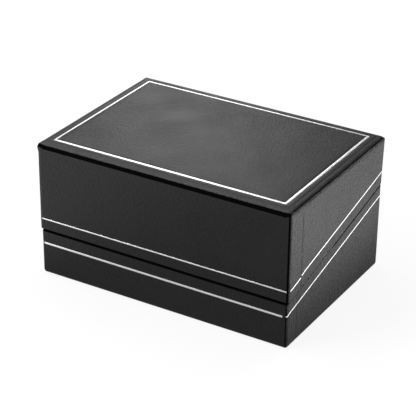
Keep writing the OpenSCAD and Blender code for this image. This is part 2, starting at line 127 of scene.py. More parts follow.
def base_rim(y):
    return seam_z(y) - SEAM_GAP / 2


def lid_rim(y):
    return seam_z(y) + SEAM_GAP / 2


def lid_rear(z):
    return LID_REAR - LID_LEAN * (LEAN_TOP - z) / (LEAN_TOP - SEAM_REAR)


def border_gap(x, y):
    """How far a point lies inside the middle of the foil border."""
    across = LID_X - abs(x) - BORDER_SIDE
    return min(across, y - LID_FRONT - BORDER_FRONT, LID_REAR - y - BORDER_REAR)


def clamp(value, low, high):
    return max(low, min(high, value))


def smooth(t):
    t = clamp(t, 0.0, 1.0)
    return t * t * (3 - 2 * t)


def hump(form, place):
    """The height at a place of a soft form, which is its height, middle and half width."""
    height, middle, half = form
    t = (place - middle) / half
    return height * (1 - t * t) ** 2 if abs(t) < 1 else 0.0


def between(value, limits):
    return limits[0] < value < limits[1]


# -------------------- camera

def make_camera():
    """The photograph's view, with the picture's middle on the lens axis."""
    azimuth, elevation, roll = math.radians(30.63), math.radians(27.50), math.radians(0.65)
    distance = 531.8 * MM
    target = Vector((-0.42, -1.60, 22.48)) * MM
    back = Vector((math.sin(azimuth) * math.cos(elevation), -math.cos(azimuth) * math.cos(elevation),
                   math.sin(elevation)))
    level = Vector((math.cos(azimuth), math.sin(azimuth), 0))
    upright = back.cross(level)
    right = math.cos(roll) * level + math.sin(roll) * upright
    up = math.cos(roll) * upright - math.sin(roll) * level
    data = bpy.data.cameras.new("photo_camera")
    data.sensor_width = 36
    data.lens = 144.54
    data.clip_start, data.clip_end = 0.01, 10
    camera = bpy.data.objects.new("photo_camera", data)
    turn = Matrix((right, up, back)).transposed().to_4x4()
    camera.matrix_world = Matrix.Translation(target + back * distance) @ turn
    bpy.context.scene.collection.objects.link(camera)
    bpy.context.scene.camera = camera


# -------------------- node materials

class Nodes:
    """A short way to write a node tree."""

    def __init__(self, tree):
        self.tree = tree
        tree.nodes.clear()

    def add(self, kind, inputs=None, **settings):
        node = self.tree.nodes.new("ShaderNode" + kind)
        for name, value in settings.items():
            setattr(node, name, value)
        for name, value in (inputs or {}).items():
            socket = node.inputs[name]
            if isinstance(value, bpy.types.NodeSocket):
                self.tree.links.new(value, socket)
            else:
                socket.default_value = value
        return node

    def math(self, operation, a, b=0.0):
        return self.add("Math", {0: a, 1: b}, operation=operation).outputs[0]

    def plus(self, a, b):
        return self.math("ADD", a, b)

    def times(self, a, b):
        return self.math("MULTIPLY", a, b)

    def mix(self, factor, a, b):
        return self.add("Mix", {0: factor, 6: a, 7: b}, data_type="RGBA").outputs[2]

    def ramp(self, value, low, high, out_low=0.0, out_high=1.0):
        node = self.add("MapRange", {"Value": value, "From Min": low, "From Max": high,
                                     "To Min": out_low, "To Max": out_high}, clamp=True)
        return node.outputs[0]

    def noise(self, where, per_mm, detail=2.0, rough=0.5, distortion=0.0):
        return self.add("TexNoise", {"Vector": where, "Scale": per_mm / MM, "Detail": detail,
                                     "Roughness": rough, "Distortion": distortion}).outputs[0]

    def cells(self, where, per_mm, feature="F1"):
        return self.add("TexVoronoi", {"Vector": where, "Scale": per_mm / MM},
                        feature=feature).outputs["Distance"]

    def relief(self, height, depth_mm, strength=1.0, normal=None):
        inputs = {"Height": height, "Distance": depth_mm * MM, "Strength": strength}
        if normal is not None:
            inputs["Normal"] = normal
        return self.add("Bump", inputs).outputs[0]

    def stretched(self, where, scale):
        return self.add("Mapping", {"Vector": where, "Scale": scale}).outputs[0]

    def rays(self):
        """1 for the camera's rays, and 1 for rays that were mirrored or passed through glass."""
        path = self.add("LightPath").outputs
        return path["Is Camera Ray"], self.math("MAXIMUM", path["Is Glossy Ray"], path["Is Transmission Ray"])


def grey(value):
    return (value, value, value, 1)


def material(name, build):
    """A new material whose nodes build(nodes, place) makes. build gives back the shader's inputs."""
    made = bpy.data.materials.new(name)
    made.use_nodes = True
    nodes = Nodes(made.node_tree)
    place = nodes.add("TexCoord").outputs["Object"]
    shader = nodes.add("BsdfPrincipled", build(nodes, place))
    out = nodes.add("OutputMaterial")
    made.node_tree.links.new(shader.outputs[0], out.inputs[0])
    return made


def grained(nodes, place):
    """Black grained sheet. Its grain is strongest and upright on the end walls, and faint on the top."""
    facing = nodes.add("SeparateXYZ", {0: nodes.add("TexCoord").outputs["Normal"]}).outputs
    end_wall = nodes.ramp(nodes.math("ABSOLUTE", facing[0]), 0.5, 0.9)
    level = nodes.ramp(nodes.math("ABSOLUTE", facing[2]), 0.5, 0.9)
    pores = nodes.cells(place, 1.9)
    creases = nodes.cells(place, 0.85, feature="DISTANCE_TO_EDGE")
    fibres = nodes.noise(nodes.stretched(place, (1.0, 1.0, 0.25)), 3.2, 3.0, 0.6)
    pebbles = nodes.noise(place, 1.0, 2.0, 0.65)
    streaks = nodes.noise(nodes.stretched(place, (1.0, 1.0, 0.12)), 0.9, 2.0, 0.6)
    cloud = nodes.noise(place, 0.09, 3.0, 0.55)
    fine = nodes.plus(nodes.times(pores, 0.55),
                      nodes.plus(nodes.times(nodes.ramp(creases, 0.0, 0.18), 0.5), nodes.times(fibres, 0.7)))
    coarse = nodes.plus(pebbles, nodes.times(streaks, nodes.times(end_wall, 0.6)))
    shade = nodes.plus(nodes.times(cloud, 0.6), nodes.times(pores, 0.4))
    coarse_depth = nodes.plus(nodes.ramp(level, 0.0, 1.0, 0.8, 0.3), nodes.times(end_wall, 0.8))
    fine_depth = nodes.plus(nodes.ramp(level, 0.0, 1.0, 0.35, 0.15), nodes.times(end_wall, 0.65))
    return {
        "Base Color": nodes.mix(nodes.ramp(shade, 0.25, 0.75), (0.0035, 0.0035, 0.0040, 1),
                                (0.0080, 0.0080, 0.0086, 1)),
        "Roughness": nodes.ramp(nodes.plus(cloud, nodes.times(pores, 0.4)), 0.4, 1.0, 0.36, 0.46),
        "Specular IOR Level": 0.26,
        "Normal": nodes.relief(fine, 0.16, fine_depth, nodes.relief(coarse, 0.22, coarse_depth)),
    }


def painted_shade_look(nodes, place):
    """Painted shade: the sheet made near black and almost without reflection along edges and in the seam,
    where shade falls.
    """
    fibres = nodes.noise(place, 2.5, 2.0, 0.6)
    return {
        "Base Color": nodes.mix(fibres, grey(0.0005), grey(0.002)),
        "Roughness": nodes.ramp(fibres, 0.2, 0.8, 0.75, 0.95),
        "Specular IOR Level": 0.02,
        "Normal": nodes.relief(fibres, 0.03, 0.5),
    }


def foil(nodes, place):
    specks = nodes.noise(place, 1.6, 4.0, 0.7)
    film = nodes.noise(place, 0.35, 2.0, 0.5)
    worn = nodes.ramp(specks, 0.70, 0.76)
    return {
        "Base Color": nodes.mix(worn, nodes.mix(film, (0.90, 0.90, 0.91, 1), grey(0.97)),
                                (0.30, 0.30, 0.31, 1)),
        "Metallic": 1.0,
        "Roughness": nodes.ramp(specks, 0.3, 0.8, 0.26, 0.42),
        "Normal": nodes.relief(specks, 0.012, 0.5),
    }


# -------------------- meshes

def spaced(marks, step):
    """Positions through every mark, with no gap wider than step."""
    marks = sorted({round(m, 4) for m in marks})
    found = [marks[0]]
    for a, b in zip(marks, marks[1:]):
        count = max(1, math.ceil((b - a) / step - TINY))
        found += [a + (b - a) * i / count for i in range(1, count + 1)]
    return found


def finish_mesh(name, mesh_data, materials, sharp=40):
    """A mesh object from a bmesh in millimetres."""
    bmesh.ops.remove_doubles(mesh_data, verts=mesh_data.verts, dist=1e-4)
    bmesh.ops.dissolve_degenerate(mesh_data, edges=mesh_data.edges, dist=1e-4)
    bmesh.ops.scale(mesh_data, vec=(MM, MM, MM), verts=mesh_data.verts)
    mesh = bpy.data.meshes.new(name)
    mesh_data.to_mesh(mesh)
    mesh_data.free()
    for polygon in mesh.polygons:
        polygon.use_smooth = True
    mesh.set_sharp_from_angle(angle=math.radians(sharp))
    sides = [0] * len(mesh.edges)
    for loop in mesh.loops:
        sides[loop.edge_index] += 1
    for edge, count in zip(mesh.edges, sides):
        edge.use_edge_sharp = edge.use_edge_sharp or count == 1
    for one in materials:
        mesh.materials.append(one)
    made = bpy.data.objects.new(name, mesh)
    bpy.context.scene.collection.objects.link(made)
    return made


def skin(made, rows, closed=False):
    """Faces between neighbouring rows of vertices, which closed makes rings."""
    for one, other in zip(rows, rows[1:]):
        for i in range(len(one) - 1 + closed):
            k = (i + 1) % len(one)
            made.faces.new((one[i], one[k], other[k], other[i]))


def thicken(piece, thickness_mm, offset=-1.0):
    solid = piece.modifiers.new("thickness", "SOLIDIFY")
    solid.thickness = thickness_mm * MM
    solid.offset = offset
    return piece


class Wrap:
    """The outside of one half of the box: walls, a closed end with a rounded edge, and a turned rim."""

    def __init__(self, half_x, front, rear, end, end_r, up, lean, corner, lift):
        self.half_x, self.front, self.rear = half_x, front, rear
        self.end, self.end_r, self.up = end, end_r, up
        self.lean, self.lift = lean, lift
        self.power, self.fill = corner

    def rim_z(self, y):
        return seam_z(y) + self.up * SEAM_GAP / 2

    def insets(self, x, y):
        """Distances in from the nearer side and from the nearer of front and rear."""
        return self.half_x - abs(x), min(y - self.front, self.rear - y)

    def end_z(self, x, y):
        """Height of the closed end, with its rounded edge."""
        a, b = (max(0.0, self.end_r - inset) / self.end_r for inset in self.insets(x, y))
        full = 1 - self.fill * a * b
        out = self.end_r * min(1.0, full * (a ** self.power + b ** self.power) ** (1 / self.power))
        return self.end - self.up * (self.end_r - math.sqrt(self.end_r ** 2 - out ** 2))

    def plan(self, x, y, inset, raised):
        """Where a point in the sharp-cornered outline goes to, with the upright edges rounded."""
        r = UPRIGHT_R
        if inset > r:
            return (clamp(x, -self.half_x + inset, self.half_x - inset),
                    clamp(y, self.front + inset, self.rear - inset))
        core = Vector((clamp(x, -self.half_x + r, self.half_x - r),
                       clamp(y, self.front + r, self.rear - r)))
        out = Vector((x, y)) - core
        if out.length < 1e-9:
            return x, y
        return core + out.normalized() * (max(abs(out.x), abs(out.y)) - inset + raised)

    def wall(self, x, y, z, inset=0.0, raised=0.0, sheet="main"):
        """A point of a wall, inset or raised along the wall's normal."""
        lift = self.lift(x, y, z, sheet) if inset == 0 else 0.0
        x, y = self.plan(x, y, inset, raised + lift)
        return self.fitted(x, y, z)

    def cap(self, x, y, raised=0.0):
        """A point of the closed end."""
        z = self.end_z(x, y) + self.up * (raised + self.lift(x, y, None, "main"))
        x, y = self.plan(x, y, 0.0, 0.0)
        return self.fitted(x, y, z)

    def fitted(self, x, y, z):
        """Leaning forward at the rear, and cleared round the hinge's knuckles."""
        if self.lean:
            share = clamp((y - self.rear + LEAN_REACH) / LEAN_REACH, 0, 1)
            y -= share * self.lean * max(0.0, LEAN_TOP - z) / (LEAN_TOP - SEAM_REAR)
        across = abs(y - PIN_Y)
        if abs(x) < RELIEF_X and across < RELIEF_R:
            reach = math.sqrt(RELIEF_R ** 2 - across ** 2)
            z = max(z, PIN_Z + reach) if self.up > 0 else min(z, PIN_Z - reach)
        return Vector((x, y, z))


# Grid lines of the wraps

ARC = (0, 10, 20, 30, 40, 49, 57, 65, 73, 81, 90)      # degrees round a rounded edge
TURN_ROWS = (RIM_TURN, 3.0, 1.2)        # along the turned-in edge inside, from the rim
RIM_ROWS = (2.3, 1.9, 1.5, 1.1, 0.8)    # across the flat of the rim
MID_ROWS = 16                           # up the plain of a wall
LID_RIM_ROWS = (0.5, 0.8, 1.5, 2.3, 3.1, 3.85, 4.35, 4.75, 5.4)     # up or down a wall from its rim
BASE_RIM_ROWS = (0.5, 0.8, 1.5, 2.3, 3.1, 3.75, 4.45, 5.05, 5.8)
LID_END_ROWS, BASE_END_ROWS = (LID_JOINT, 3.2, 4.0), (1.8,)         # from the closed end
FULL_REACH = 0.8                        # how far down a wall a full corner reaches


def arc_insets(radius):
    return [radius * (1 - math.sin(math.radians(a))) for a in ARC]


def cross_marks(half, insets, step=STEP):
    return spaced([-half + i for i in insets] + [half - i for i in insets], step)


def near(*places):
    """Marks across a small groove or hump at each place, which is (middle, half width)."""
    return [middle + half * t for middle, half in places for t in (-1, -0.5, 0, 0.5, 1)]


def wrap_mesh(name, wrap, xs, ys, rim_rows, end_rows, sheet_of, sheet, shade, materials):
    """One sheet of a wrap. sheet_of and shade say a face's sheet and material, by side, x, y and rows.

    A row is a kind, an inset and a height: from the rim, between the two, or from the closed end.
    Corners run the other way round on the base, which is closed below, so that its faces too look out.
    """
    steps = [math.radians(a) for a in (67.5, 45, 22.5, 0)]
    rows = [("rim", RIM_IN, h) for h in (*TURN_ROWS, RIM_R)]
    rows += [("rim", RIM_IN - RIM_R * (1 - math.sin(a)), RIM_R * (1 - math.cos(a))) for a in steps]
    rows += [("rim", inset, 0.0) for inset in RIM_ROWS]
    rows += [("rim", RIM_R * (1 - math.sin(a)), RIM_R * (1 - math.cos(a))) for a in reversed(steps)]
    rows += [("rim", 0.0, h) for h in rim_rows]
    rows += [("mid", 0.0, share / MID_ROWS) for share in range(1, MID_ROWS)]
    rows += [("end", 0.0, e) for e in sorted({*end_rows, wrap.end_r}, reverse=True)]

    ring = [(x, wrap.front, "front") for x in xs[:-1]]
    ring += [(wrap.half_x, y, "right") for y in ys[:-1]]
    ring += [(x, wrap.rear, "rear") for x in reversed(xs[1:])]
    ring += [(-wrap.half_x, y, "left") for y in reversed(ys[1:])]

    made = bmesh.new()
    rim_top, end_top = max(rim_rows), max(end_rows)

    def wall_point(x, y, row):
        kind, inset, value = row
        y_in = clamp(y, wrap.front + inset, wrap.rear - inset)
        low = wrap.rim_z(y_in) + wrap.up * rim_top
        high = wrap.end - wrap.up * end_top
        folded = clamp(1 - (value - wrap.end_r) / FULL_REACH, 0, 1) if kind == "end" else 0.0
        fullness = wrap.end_z(x, y) - wrap.end + wrap.up * wrap.end_r
        z = {"rim": wrap.rim_z(y_in) + wrap.up * value, "mid": low + (high - low) * value,
             "end": wrap.end - wrap.up * value + folded * fullness}[kind]
        return wrap.wall(x, y, z, inset, sheet=sheet)

    points = {}

    def vertex(key, place):
        if key not in points:
            points[key] = made.verts.new(place())
        return points[key]

    count = len(ring)
    for i in range(count):
        here, there = ring[i], ring[(i + 1) % count]
        face = here[2]
        for j in range(len(rows) - 1):
            middle = ((here[0] + there[0]) / 2, (here[1] + there[1]) / 2)
            if sheet_of(face, *middle, rows[j], rows[j + 1]) != sheet:
                continue
            corners = []
            for k, row_index in ((i, j), ((i + 1) % count, j), ((i + 1) % count, j + 1), (i, j + 1)):
                x, y = ring[k][:2]
                corners.append(vertex(("wall", k, row_index),
                                      lambda x=x, y=y, r=rows[row_index]: wall_point(x, y, r)))
            made.faces.new(corners[::wrap.up]).material_index = shade(face, *middle, rows[j], rows[j + 1])

    for a in range(len(xs) - 1):
        for b in range(len(ys) - 1):
            middle = ((xs[a] + xs[a + 1]) / 2, (ys[b] + ys[b + 1]) / 2)
            if sheet_of("end", *middle, None, None) != sheet:
                continue
            corners = []
            for i, j in ((a, b), (a + 1, b), (a + 1, b + 1), (a, b + 1)):
                x, y = xs[i], ys[j]
                corners.append(vertex(("end", i, j), lambda x=x, y=y: wrap.cap(x, y)))
            made.faces.new(corners[::wrap.up]).material_index = shade("end", *middle, None, None)
    return thicken(finish_mesh(name, made, materials), SHEET_T)


def sheet_at(wrap, x, y):
    """Which sheet shows at a point of a wall."""
    folds = LID_FOLDS if wrap.up > 0 else BASE_FOLDS
    return "side" if abs(x) > wrap.half_x - 0.01 and between(y, folds) else "main"


def ribbon(name, wrap, runs, material_used):
    """Foil strips along runs of (x, y, z) on the outside box, with each run's width."""
    made = bmesh.new()
    for points, width in runs:
        rows = []
        for x, y, z in points:
            rows.append([made.verts.new(wrap.wall(x, y, z + width * share, raised=LINE_RAISED - lower,
                                                  sheet=sheet_at(wrap, x, y)))
                         for share, lower in FOIL_SECTION])
        for low, high in zip(rows, rows[1:]):
            for a, b, c, d in zip(low, high, high[1:], low[1:]):
                made.faces.new((a, b, c, d))
    bmesh.ops.recalc_face_normals(made, faces=made.faces)
    return thicken(finish_mesh(name, made, [material_used], sharp=60), FOIL_T, offset=0.0)


# -------------------- lid and base wraps

def undulation(x, y, z, size):
    """A slow unevenness of a sheet, up to about its size."""
    return size * noise.noise(Vector((x, y, z)) * 0.11)


def lid_lift(x, y, z, sheet):
    """How far the lid's sheets stand proud of their plain form. z is None on the closed end."""
    side_in, face_in = wrap_of["lid"].insets(x, y)
    if z is None:
        gap = border_gap(x, y)
        return hump(BORDER_GROOVE, gap) + undulation(x, y, LID_TOP, 0.035) * smooth((gap - 1) / 4)
    rise = z - lid_rim(y)
    below = LID_TOP - z
    lift = 0.0
    if face_in < TINY and y < 0:
        lift += hump(LID_FRONT_GROOVE, side_in) * smooth((below - TOP_R) / 0.8)
        lift += undulation(x, y, z, 0.03) * smooth((below - TOP_R) / 4) * smooth((rise - 1) / 3)
    elif side_in < TINY:
        from_fold, from_rear_fold = y - LID_FOLDS[0], LID_FOLDS[1] - y
        if sheet == "main":
            lift += hump(LID_FOLD_DIP, from_fold) * smooth((below - TOP_R) / 2)
            lift += hump(LID_TAB_CROWN, from_fold) * smooth((below - TOP_R) / 3)
        else:
            lift += hump(LID_SIDE_RIDGE, from_fold) * smooth((below - LID_JOINT) / 3)
            lift += hump(LID_REAR_RIDGE, from_rear_fold)
            lift += undulation(x, y, z, 0.04) * smooth(from_fold / 4) * smooth((below - LID_JOINT) / 4)
        if x < 0:
            lift += hump(CORNER_TIP, Vector((y - LID_FRONT, below - TOP_R)).length)
    return lift


def base_lift(x, y, z, sheet):
    """How far the base's sheets stand proud of their plain form. z is None on the closed end."""
    side_in, face_in = wrap_of["base"].insets(x, y)
    if z is None:
        return -FOOT_RECESS * smooth((min(side_in, face_in) - RECESS_FROM) / RECESS_STEP)
    depth = base_rim(y) - z
    above = z - BASE_BOTTOM
    lift = 0.0
    if face_in < TINY and y < 0:
        lift += hump(BASE_FRONT_GROOVE, BASE_X - x) * smooth((above - BOTTOM_R) / 2)
        lift += undulation(x, y, z, 0.02) * smooth((above - 1) / 3) * smooth((depth - 1) / 3)
    elif side_in < TINY:
        share = -1 if sheet == "main" else 1
        for away in (y - BASE_FOLDS[0], BASE_FOLDS[1] - y):
            lift += share * hump(BASE_FOLD_RIDGE, away * share)
        lift += undulation(x, y, z, 0.03) * smooth((above - 1) / 3) * smooth((depth - 1) / 3)
    return lift


wrap_of = {
    "lid": Wrap(LID_X, LID_FRONT, LID_REAR, LID_TOP, TOP_R, 1, LID_LEAN, LID_CORNER, lid_lift),
    "base": Wrap(BASE_X, BASE_FRONT, BASE_REAR, BASE_BOTTOM, BOTTOM_R, -1, 0.0, BASE_CORNER, base_lift),
}


def rim_rise(low, high):
    """How far the middle of a face is from the rim, or infinite off the rim's rows."""
    if low and low[0] == high[0] == "rim" and high[1] < RIM_IN - RIM_R:
        return (low[2] + high[2]) / 2
    return math.inf


def side_shade(y, low, high):
    """1 where a side or rear wall gets painted shade along the seam, else 0."""
    reach = SIDE_RIM_SHADE_BEHIND if y > SIDE_SHADE_FROM else SIDE_RIM_SHADE_AHEAD
    return int(rim_rise(low, high) < reach)


def lid_shade(face, x, y, low, high):
    """1 where the lid's sheet gets painted shade, else 0."""
    side_in, face_in = wrap_of["lid"].insets(x, y)
    start, stop = LID_FRONT_SHADE
    if face == "end":
        front_edge = y < 0 and face_in < TOP_FRONT_SHADE and side_in > start
        right_edge = x > 0 and between(side_in, LID_TOP_SHADE) and face_in > 1
        return int(front_edge or right_edge)
    if face == "front":
        upright = start < side_in < stop if x > 0 else side_in < start
        corner = low[0] == "end" and low[2] <= LID_JOINT and side_in < TOP_R
        return int(upright or corner or rim_rise(low, high) < LID_RIM_SHADE)
    return side_shade(y, low, high)


def base_shade(face, x, y, low, high):
    """1 where the base's sheet gets painted shade, else 0."""
    if face == "front":
        upright = x > 0 and between(BASE_X - x, BASE_FRONT_SHADE)
        return int(upright or rim_rise(low, high) < BASE_RIM_SHADE)
    return side_shade(y, low, high)


def lid_sheet(face, x, y, low, high):
    """Which sheet of the lid a face belongs to. The main one has the strip above the side sheets."""
    on_side = face in ("left", "right") and between(y, LID_FOLDS)
    return face if on_side and (low[0] != "end" or high[2] >= LID_JOINT - TINY) else "main"


def base_sheet(face, x, y, low, high):
    """Which sheet of the base a face belongs to. The side ones turn in under the base."""
    if not between(y, BASE_FOLDS):
        return "main"
    if face == "end" and abs(x) > BASE_X - RIM_IN:
        return "left" if x < 0 else "right"
    return face if face in ("left", "right") else "main"


def make_wraps(cover, painted_shade_material):
    pocket = near((-RELIEF_X, 0.1), (RELIEF_X, 0.1))
    groove = [BORDER_GROOVE[2] * i / 3 for i in range(-3, 4)]
    marks = arc_insets(TOP_R) + [BORDER_SIDE + i for i in groove] + [*LID_FRONT_SHADE, LID_FRONT_GROOVE[1]]
    lid_xs = spaced(cross_marks(LID_X, marks) + pocket, STEP)
    fold = near(*((y, 1.3) for y in LID_FOLDS))
    border = [middle + i for middle in (LID_FRONT + BORDER_FRONT, LID_REAR - BORDER_REAR) for i in groove]
    lid_ys = spaced(cross_marks(LID_REAR, arc_insets(TOP_R)) + border + fold, STEP)

    marks = arc_insets(BOTTOM_R) + [RECESS_FROM + RECESS_STEP * i / 3 for i in range(4)]
    base_xs = spaced(cross_marks(BASE_X, [*marks, *BASE_FRONT_SHADE, RIM_IN]) + pocket, STEP)
    fold = near(*((y, 1.2) for y in BASE_FOLDS))
    base_ys = spaced(cross_marks(BASE_REAR, marks) + fold, STEP)

    for body, grid, sheet_of, shade in (
            ("lid", (lid_xs, lid_ys, LID_RIM_ROWS, LID_END_ROWS), lid_sheet, lid_shade),
            ("base", (base_xs, base_ys, BASE_RIM_ROWS, BASE_END_ROWS), base_sheet, base_shade)):
        for sheet in ("main", "left", "right"):
            name = f"{body}_wrap" if sheet == "main" else f"{body}_{sheet}_sheet"
            piece = wrap_mesh(name, wrap_of[body], *grid, sheet_of, sheet, shade, [cover, painted_shade_material])
            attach(piece, body)
            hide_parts(f"{body}_{sheet}_cover")


# -------------------- foil

def level_run(half_x, y, z, width):
    """A line right across the front or the rear."""
    return [(x, y, z) for x in spaced([-half_x + LINE_END, half_x - LINE_END], STEP)], width


def make_lid_line(silver):
    """The line round the lid, which steps up where the side sheets meet the front tabs."""
    runs = [level_run(LID_X, LID_FRONT, SEAM_FRONT + LID_FRONT_LINE, LID_LINE_W),
            level_run(LID_X, LID_REAR, SEAM_REAR + LID_SIDE_LINE, LID_LINE_W)]
    fold, rear_fold = LID_FOLDS
    tab = spaced([LID_FRONT + TAB_LINE_IN, fold - TAB_LINE_END], STEP)
    past_fold = [fold + i for i in (0.1, 0.5, 0.9, 1.3, 2)]
    side = spaced([*past_fold, rear_fold, LID_REAR - LINE_END], STEP)
    for x in (-LID_X, LID_X):
        runs.append(([(x, y, seam_z(y) + LID_FRONT_LINE) for y in tab], SIDE_LINE_W))
        runs.append(([(x, y, seam_z(y) + LID_SIDE_LINE) for y in side], SIDE_LINE_W))
    return ribbon("lid_foil_strip", wrap_of["lid"], runs, silver)


def make_base_line(silver):
    """The line round the base. Its side runs start round the front edges, a little lower."""
    front = spaced([-BASE_X + BASE_LINE_LEFT, -BASE_X + 1, BASE_X - BASE_LINE_RIGHT], STEP)
    runs = [([(x, BASE_FRONT, SEAM_FRONT - BASE_FRONT_LINE) for x in front], BASE_LINE_W),
            level_run(BASE_X, BASE_REAR, seam_z(BASE_REAR) - BASE_SIDE_LINE, BASE_LINE_W)]
    near_edge = spaced([BASE_FRONT, BASE_FRONT + 0.3, BASE_FRONT + LINE_DROP_REACH], 0.3)
    side = spaced([BASE_FRONT + 2, *BASE_FOLDS, BASE_REAR - BASE_LINE_END], STEP / 2)

    def side_line_z(y):
        return seam_z(y) - BASE_SIDE_LINE - LINE_DROP * (1 - smooth((y - BASE_FRONT) / LINE_DROP_REACH))

    for sign in (-1, 1):
        bend = [(sign * BASE_X - sign * i, BASE_FRONT) for i in BASE_LINE_BEND]
        bend += [(sign * BASE_X, y) for y in near_edge + side]
        runs.append(([(x, y, side_line_z(y)) for x, y in bend], SIDE_LINE_W))
    return ribbon("base_foil_strip", wrap_of["base"], runs, silver)


def make_border(silver):
    """The pressed frame on the lid's top, whose four sides differ in width."""
    made = bmesh.new()
    steps = [t / 60 for t in range(60)]
    loops = []
    for share, lower in FOIL_SECTION:
        left, right = -LID_X + BORDER_SIDE + LEFT_W * share, LID_X - BORDER_SIDE - RIGHT_W * share
        front, rear = LID_FRONT + BORDER_FRONT + FRONT_W * share, LID_REAR - BORDER_REAR - REAR_W * share
        corners = [(left, front), (right, front), (right, rear), (left, rear)]
        loop = [(x + (to_x - x) * t, y + (to_y - y) * t)
                for (x, y), (to_x, to_y) in zip(corners, corners[1:] + corners[:1]) for t in steps]
        loops.append([made.verts.new(wrap_of["lid"].cap(x, y, BORDER_RAISED - lower)) for x, y in loop])
    skin(made, loops, closed=True)
    return thicken(finish_mesh("lid_foil_frame", made, [silver], sharp=60), FOIL_T, offset=0.0)


def make_foil(silver):
    lid_line, base_line, border = make_lid_line(silver), make_base_line(silver), make_border(silver)
    for piece, body, node in ((lid_line, "lid", "lid_foil_line"), (base_line, "base", "base_foil_line"),
                              (border, "lid", "lid_foil_border")):
        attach(piece, body)
        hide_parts(node)


# -------------------- linings, pads and other inner pieces

def velvet(nodes, place):
    pile = nodes.noise(place, 4.0, 3.0, 0.7)
    brushed = nodes.noise(nodes.stretched(place, (1.0, 0.4, 1.0)), 0.12, 3.0, 0.6, 0.8)
    shade = nodes.plus(nodes.times(pile, 0.6), nodes.times(brushed, 0.5))
    return {
        "Base Color": nodes.mix(nodes.ramp(shade, 0.3, 0.8), (0.006, 0.006, 0.007, 1),
                                (0.022, 0.022, 0.024, 1)),
        "Roughness": nodes.ramp(brushed, 0.2, 0.8, 0.85, 1.0),
        "Specular IOR Level": 0.2,
        "Sheen Weight": 0.35,
        "Sheen Roughness": 0.4,
        "Sheen Tint": grey(0.55),
        "Normal": nodes.relief(pile, 0.12, 0.7),
    }


def satin(nodes, place):
    threads = nodes.noise(nodes.stretched(place, (0.12, 1.0, 1.0)), 5.0, 2.0, 0.6)
    weft = nodes.noise(nodes.stretched(place, (1.0, 0.12, 1.0)), 5.0, 2.0, 0.6)
    cloud = nodes.noise(place, 0.08, 2.0, 0.5)
    weave = nodes.plus(threads, nodes.times(weft, 0.4))
    shade = nodes.plus(nodes.times(weave, 0.4), nodes.times(cloud, 0.5))
    return {
        "Base Color": nodes.mix(nodes.ramp(shade, 0.3, 0.8), (0.66, 0.65, 0.61, 1), (0.80, 0.79, 0.76, 1)),
        "Roughness": nodes.ramp(weave, 0.4, 1.0, 0.30, 0.42),
        "Anisotropic": 0.4,
        "Sheen Weight": 0.1,
        "Normal": nodes.relief(weave, 0.03, 0.5),
    }


def felt(nodes, place):
    fibres = nodes.noise(place, 2.2, 4.0, 0.75, 1.5)
    nap = nodes.noise(place, 0.15, 2.0, 0.5)
    return {
        "Base Color": nodes.mix(nodes.ramp(fibres, 0.3, 0.7), (0.012, 0.012, 0.013, 1),
                                (0.034, 0.034, 0.036, 1)),
        "Roughness": nodes.ramp(nap, 0.3, 0.7, 0.88, 1.0),
        "Specular IOR Level": 0.15,
        "Sheen Weight": 0.15,
        "Normal": nodes.relief(fibres, 0.15, 0.8),
    }


def foam(nodes, place):
    pores = nodes.cells(place, 1.8)
    fine = nodes.noise(place, 3.0, 3.0, 0.7)
    return {
        "Base Color": nodes.mix(nodes.ramp(pores, 0.1, 0.6), grey(0.20), grey(0.34)),
        "Roughness": nodes.ramp(fine, 0.2, 0.8, 0.85, 1.0),
        "Normal": nodes.relief(pores, 0.2, 0.8),
    }


def greyboard(nodes, place):
    fibres = nodes.noise(nodes.stretched(place, (1.0, 0.3, 1.0)), 1.4, 4.0, 0.7, 1.0)
    specks = nodes.ramp(nodes.noise(place, 1.1, 2.0, 0.6), 0.66, 0.72)
    return {
        "Base Color": nodes.mix(specks, nodes.mix(fibres, (0.36, 0.35, 0.33, 1), (0.48, 0.47, 0.45, 1)),
                                (0.20, 0.19, 0.18, 1)),
        "Roughness": nodes.ramp(fibres, 0.2, 0.8, 0.78, 0.95),
        "Normal": nodes.relief(fibres, 0.06, 0.6),
    }


def steel(nodes, place):
    brushed = nodes.noise(nodes.stretched(place, (0.08, 1.0, 1.0)), 4.0, 3.0, 0.6)
    stain = nodes.noise(place, 0.4, 3.0, 0.6)
    return {
        "Base Color": nodes.mix(nodes.ramp(stain, 0.4, 0.7), (0.55, 0.55, 0.57, 1), (0.68, 0.68, 0.70, 1)),
        "Metallic": 1.0,
        "Roughness": nodes.ramp(brushed, 0.2, 0.8, 0.24, 0.42),
        "Anisotropic": 0.4,
        "Normal": nodes.relief(brushed, 0.01, 0.5),
    }


def rounded(piece, radius, segments=3):
    rounding = piece.modifiers.new("rounding", "BEVEL")
    rounding.width = radius * MM
    rounding.segments = segments
    rounding.limit_method = "ANGLE"
    return piece


def run_x(name, outline, low_x, high_x, material_used):
    """A closed solid: an outline of (y, z) points run along X."""
    made = bmesh.new()
    rings = [[made.verts.new((x, y, z)) for y, z in outline] for x in spaced([low_x, high_x], 6)]
    skin(made, rings, closed=True)
    made.faces.new(rings[0])
    made.faces.new(rings[-1])
    bmesh.ops.recalc_face_normals(made, faces=made.faces)
    return finish_mesh(name, made, [material_used])


